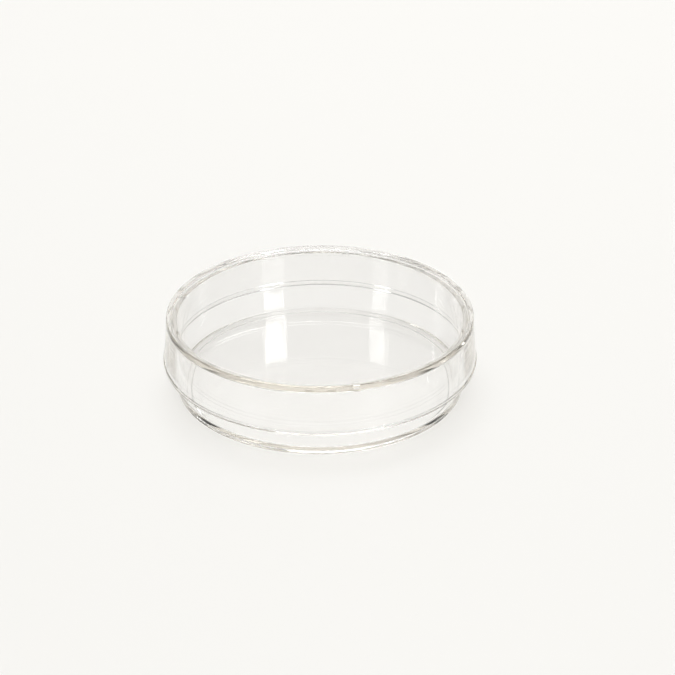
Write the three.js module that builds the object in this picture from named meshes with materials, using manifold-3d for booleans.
// A small clear polystyrene petri dish with its lid on: two mouldings, both bodies of revolution.
// Millimetres, +Z up. The origin is the centre of the foot that the dish stands on.

import * as THREE from 'three';
import { mergeVertices } from 'three/addons/utils/BufferGeometryUtils.js';
import Module from 'manifold-3d';

// ---- Driving dimensions -------------------------------------------------------------------

const LID_DIAMETER = 60.0;           // over the bead at the bottom of the skirt
const OVERALL_HEIGHT = 15.0;         // foot of the dish to the top of the stacking ring
const SKIRT_BOTTOM = 5.4;            // height of the lid's lower edge when the lid is on
const BASE_WALL = 0.9;
const SKIRT_WALL_TOP = 0.8;          // the lid's skirt thickens towards its lower edge
const SKIRT_WALL_BOTTOM = 1.2;
const SKIRT_DRAFT = 0.085;           // how far the skirt leans in for each millimetre of height
const BASE_DRAFT = 0.044;            // how far the wall of the dish leans out

const RING_WIDTH = 0.9;              // stacking ring round the lid's top edge
const RING_HEIGHT = 0.25;            // ring above the flat panel it surrounds
const RING_EDGE_RADIUS = 0.1;        // round on the ring's inner edge
const PANEL_THICKNESS = 1.15;
const BEAD_HEIGHT = 0.95;            // thicker band along the skirt's lower edge
const BEAD_STEP = 0.12;

const NIB_COUNT = 3;                 // vent nibs that hold the lid off the rim of the dish
const NIB_HEIGHT = 0.15;
const NIB_WIDTH = 1.2;
const NIB_START = -76;               // angle of the first nib from +X, in degrees
const SEAT_GAP = 0.05;               // modelled air between the nibs and the rim

const BASE_FOOT_DIAMETER = 55.0;     // wall of the dish, carried down to the bench
const FLOOR_THICKNESS = 1.15;
const FOOT_RADIUS = 0.3;             // round between the wall and the foot
const FOOT_RING_WIDTH = 1.5;
const FOOT_RECESS = 0.2;             // underside of the floor above the foot

const EDGE_RADIUS = 0.25;            // rounds on the lid's outer edges
const RIM_RADIUS = 0.15;             // rounds on the rim of the dish
const LID_CORNER_RADIUS = 0.25;      // rounds where a wall meets a flat
const BASE_CORNER_RADIUS = 0.4;
const AROUND = 80;                   // flats round a turned piece
const ARC_STEPS = 3;                 // flats in a quarter round

// ---- Derived dimensions -------------------------------------------------------------------

const PANEL_TOP = OVERALL_HEIGHT - RING_HEIGHT;
const PANEL_UNDERSIDE = PANEL_TOP - PANEL_THICKNESS;
const RIM_HEIGHT = PANEL_UNDERSIDE - NIB_HEIGHT - SEAT_GAP;
const SKIRT_RADIUS = LID_DIAMETER / 2 - BEAD_STEP;

const skirtOuter = (z) => SKIRT_RADIUS - SKIRT_DRAFT * (z - SKIRT_BOTTOM - BEAD_HEIGHT);
const skirtInner = (z) => skirtOuter(z)
  - THREE.MathUtils.mapLinear(z, SKIRT_BOTTOM, PANEL_UNDERSIDE, SKIRT_WALL_BOTTOM, SKIRT_WALL_TOP);
const baseOuter = (z) => BASE_FOOT_DIAMETER / 2 + BASE_DRAFT * z;

// ---- Shape helpers ------------------------------------------------------------------------

// Quarter round about (centreR, centreZ), from one angle to another in degrees.
// Angle 0 points away from the axis and angle 90 points up.
function quarter(centreR, centreZ, radius, from, to) {
  const points = [];
  for (let step = 0; step <= ARC_STEPS; step++) {
    const angle = THREE.MathUtils.degToRad(from + ((to - from) * step) / ARC_STEPS);
    points.push(new THREE.Vector2(centreR + radius * Math.cos(angle), centreZ + radius * Math.sin(angle)));
  }
  return points;
}

const at = (r, z) => new THREE.Vector2(r, z);

// Turned solid. The profile runs from the axis, out along the underside and back over the top.
function turned(profile) {
  const geometry = new THREE.LatheGeometry(profile, AROUND);
  return geometry.rotateX(Math.PI / 2);
}

const wasm = await Module();
wasm.setup();

function toSolid(geometry) {
  const bare = geometry.clone();
  bare.deleteAttribute('normal');
  bare.deleteAttribute('uv');
  const merged = mergeVertices(bare, 1e-5);
  return new wasm.Manifold(new wasm.Mesh({
    numProp: 3,
    vertProperties: new Float32Array(merged.attributes.position.array),
    triVerts: new Uint32Array(merged.index.array),
  }));
}

function toGeometry(solid) {
  const mesh = solid.getMesh();
  const geometry = new THREE.BufferGeometry();
  geometry.setAttribute('position', new THREE.BufferAttribute(mesh.vertProperties, 3));
  geometry.setIndex(new THREE.BufferAttribute(mesh.triVerts, 1));
  geometry.computeVertexNormals();
  return geometry;
}

// ---- The dish -----------------------------------------------------------------------------

function dishBase() {
  const footOuter = baseOuter(FOOT_RADIUS) - FOOT_RADIUS;
  const footInner = footOuter - FOOT_RING_WIDTH;
  const rimOuter = baseOuter(RIM_HEIGHT);
  const rimInner = rimOuter - BASE_WALL;
  const cornerHeight = FLOOR_THICKNESS + BASE_CORNER_RADIUS;
  const cornerRadius = baseOuter(cornerHeight) - BASE_WALL;
  return turned([
    at(0, FOOT_RECESS),
    at(footInner - FOOT_RECESS, FOOT_RECESS),
    at(footInner, 0),
    ...quarter(footOuter, FOOT_RADIUS, FOOT_RADIUS, -90, 0),
    ...quarter(rimOuter - RIM_RADIUS, RIM_HEIGHT - RIM_RADIUS, RIM_RADIUS, 0, 90),
    ...quarter(rimInner + RIM_RADIUS, RIM_HEIGHT - RIM_RADIUS, RIM_RADIUS, 90, 180),
    ...quarter(cornerRadius - BASE_CORNER_RADIUS, cornerHeight, BASE_CORNER_RADIUS, 0, -90),
    at(0, FLOOR_THICKNESS),
  ]);
}

// ---- The lid ------------------------------------------------------------------------------

function lidShell() {
  const ringOuter = skirtOuter(OVERALL_HEIGHT);
  const ringInner = ringOuter - RING_WIDTH;
  const cornerHeight = PANEL_UNDERSIDE - LID_CORNER_RADIUS;
  const cornerRadius = skirtInner(cornerHeight);
  const beadTop = SKIRT_BOTTOM + BEAD_HEIGHT;
  const beadRadius = LID_DIAMETER / 2;
  const edgeInner = skirtInner(SKIRT_BOTTOM);
  return turned([
    at(0, PANEL_UNDERSIDE),
    ...quarter(cornerRadius - LID_CORNER_RADIUS, cornerHeight, LID_CORNER_RADIUS, 90, 0),
    ...quarter(edgeInner + EDGE_RADIUS, SKIRT_BOTTOM + EDGE_RADIUS, EDGE_RADIUS, 180, 270),
    ...quarter(beadRadius - EDGE_RADIUS, SKIRT_BOTTOM + EDGE_RADIUS, EDGE_RADIUS, -90, 0),
    at(beadRadius, beadTop - BEAD_STEP),
    at(skirtOuter(beadTop), beadTop),
    ...quarter(ringOuter - EDGE_RADIUS, OVERALL_HEIGHT - EDGE_RADIUS, EDGE_RADIUS, 0, 90),
    ...quarter(ringInner + RING_EDGE_RADIUS, OVERALL_HEIGHT - RING_EDGE_RADIUS, RING_EDGE_RADIUS, 90, 180),
    at(ringInner - BEAD_STEP, PANEL_TOP),
    at(0, PANEL_TOP),
  ]);
}

// One rib in the corner under the panel. It runs in from the skirt over the rim of the dish.
function ventNib(turn) {
  const outer = skirtOuter(PANEL_UNDERSIDE) - SKIRT_WALL_TOP / 2;
  const inner = baseOuter(RIM_HEIGHT) - 1.5 * BASE_WALL;
  const embedded = PANEL_THICKNESS / 2;
  const nib = new THREE.BoxGeometry(outer - inner, NIB_WIDTH, NIB_HEIGHT + embedded);
  nib.translate((outer + inner) / 2, 0, PANEL_UNDERSIDE + (embedded - NIB_HEIGHT) / 2);
  return nib.rotateZ(turn);
}

function dishLid() {
  let lid = toSolid(lidShell());
  for (let i = 0; i < NIB_COUNT; i++) {
    const turn = THREE.MathUtils.degToRad(NIB_START + (360 * i) / NIB_COUNT);
    lid = lid.add(toSolid(ventNib(turn)));
  }
  return toGeometry(lid);
}

// ---- Assembly -----------------------------------------------------------------------------

function piece(name, geometry, colour, roughness) {
  const material = new THREE.MeshStandardMaterial({
    color: colour,
    roughness,
    metalness: 0,
    transparent: true,
    opacity: 0.3,
  });
  const mesh = new THREE.Mesh(geometry, material);
  mesh.name = name;
  return mesh;
}

const petriDish = new THREE.Group();
petriDish.add(piece('dish_base', dishBase(), 0xf1f0eb, 0.06));
petriDish.add(piece('dish_lid', dishLid(), 0xf3f2ee, 0.05));

export default petriDish;
